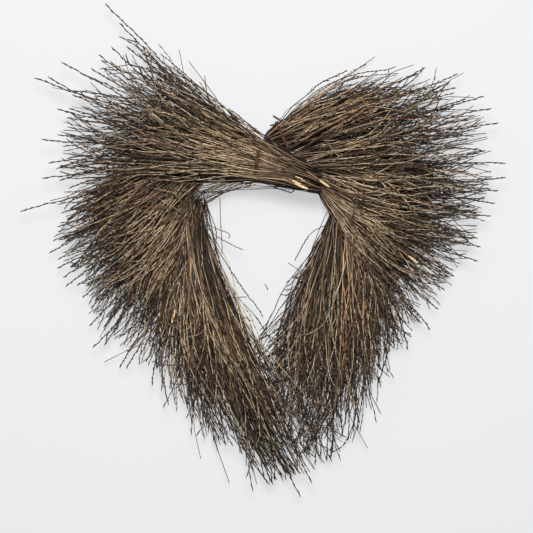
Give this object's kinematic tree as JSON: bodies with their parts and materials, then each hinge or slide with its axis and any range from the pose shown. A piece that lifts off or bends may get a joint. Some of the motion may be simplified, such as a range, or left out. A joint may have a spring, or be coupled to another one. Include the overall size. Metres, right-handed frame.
{
  "type": "twig heart wreath",
  "caption": "Heart-shaped wreath of thin bare twigs, fanned out in tied sheaves round an open middle, with rusty tie wire at the cleft; lies on its back",
  "frame": {"origin": "on the surface that the wreath lies on, under the middle of its outline", "axes": "+Z out of the front of the wreath, away from the surface; +Y towards the cleft of the heart; +X to the right as seen from the front"},
  "size_m": [0.6128, 0.6228, 0.0719],
  "materials": {
    "twigs": "dry bark, dark brown with paler worn stretches and buds",
    "tie_wire": "rusty annealed wire"
  },
  "bodies": {
    "root": {"left_lobe_sheaf": "twigs", "right_lobe_sheaf": "twigs", "left_shoulder_sheaf": "twigs", "right_shoulder_sheaf": "twigs", "left_arm_sheaf": "twigs", "right_arm_sheaf": "twigs", "left_point_sheaf": "twigs", "right_point_sheaf": "twigs", "loose_twig_left": "twigs", "loose_twig_right": "twigs", "neck_tie_wire": "tie_wire", "side_tie_wire": "tie_wire"}
  },
  "joints": []
}
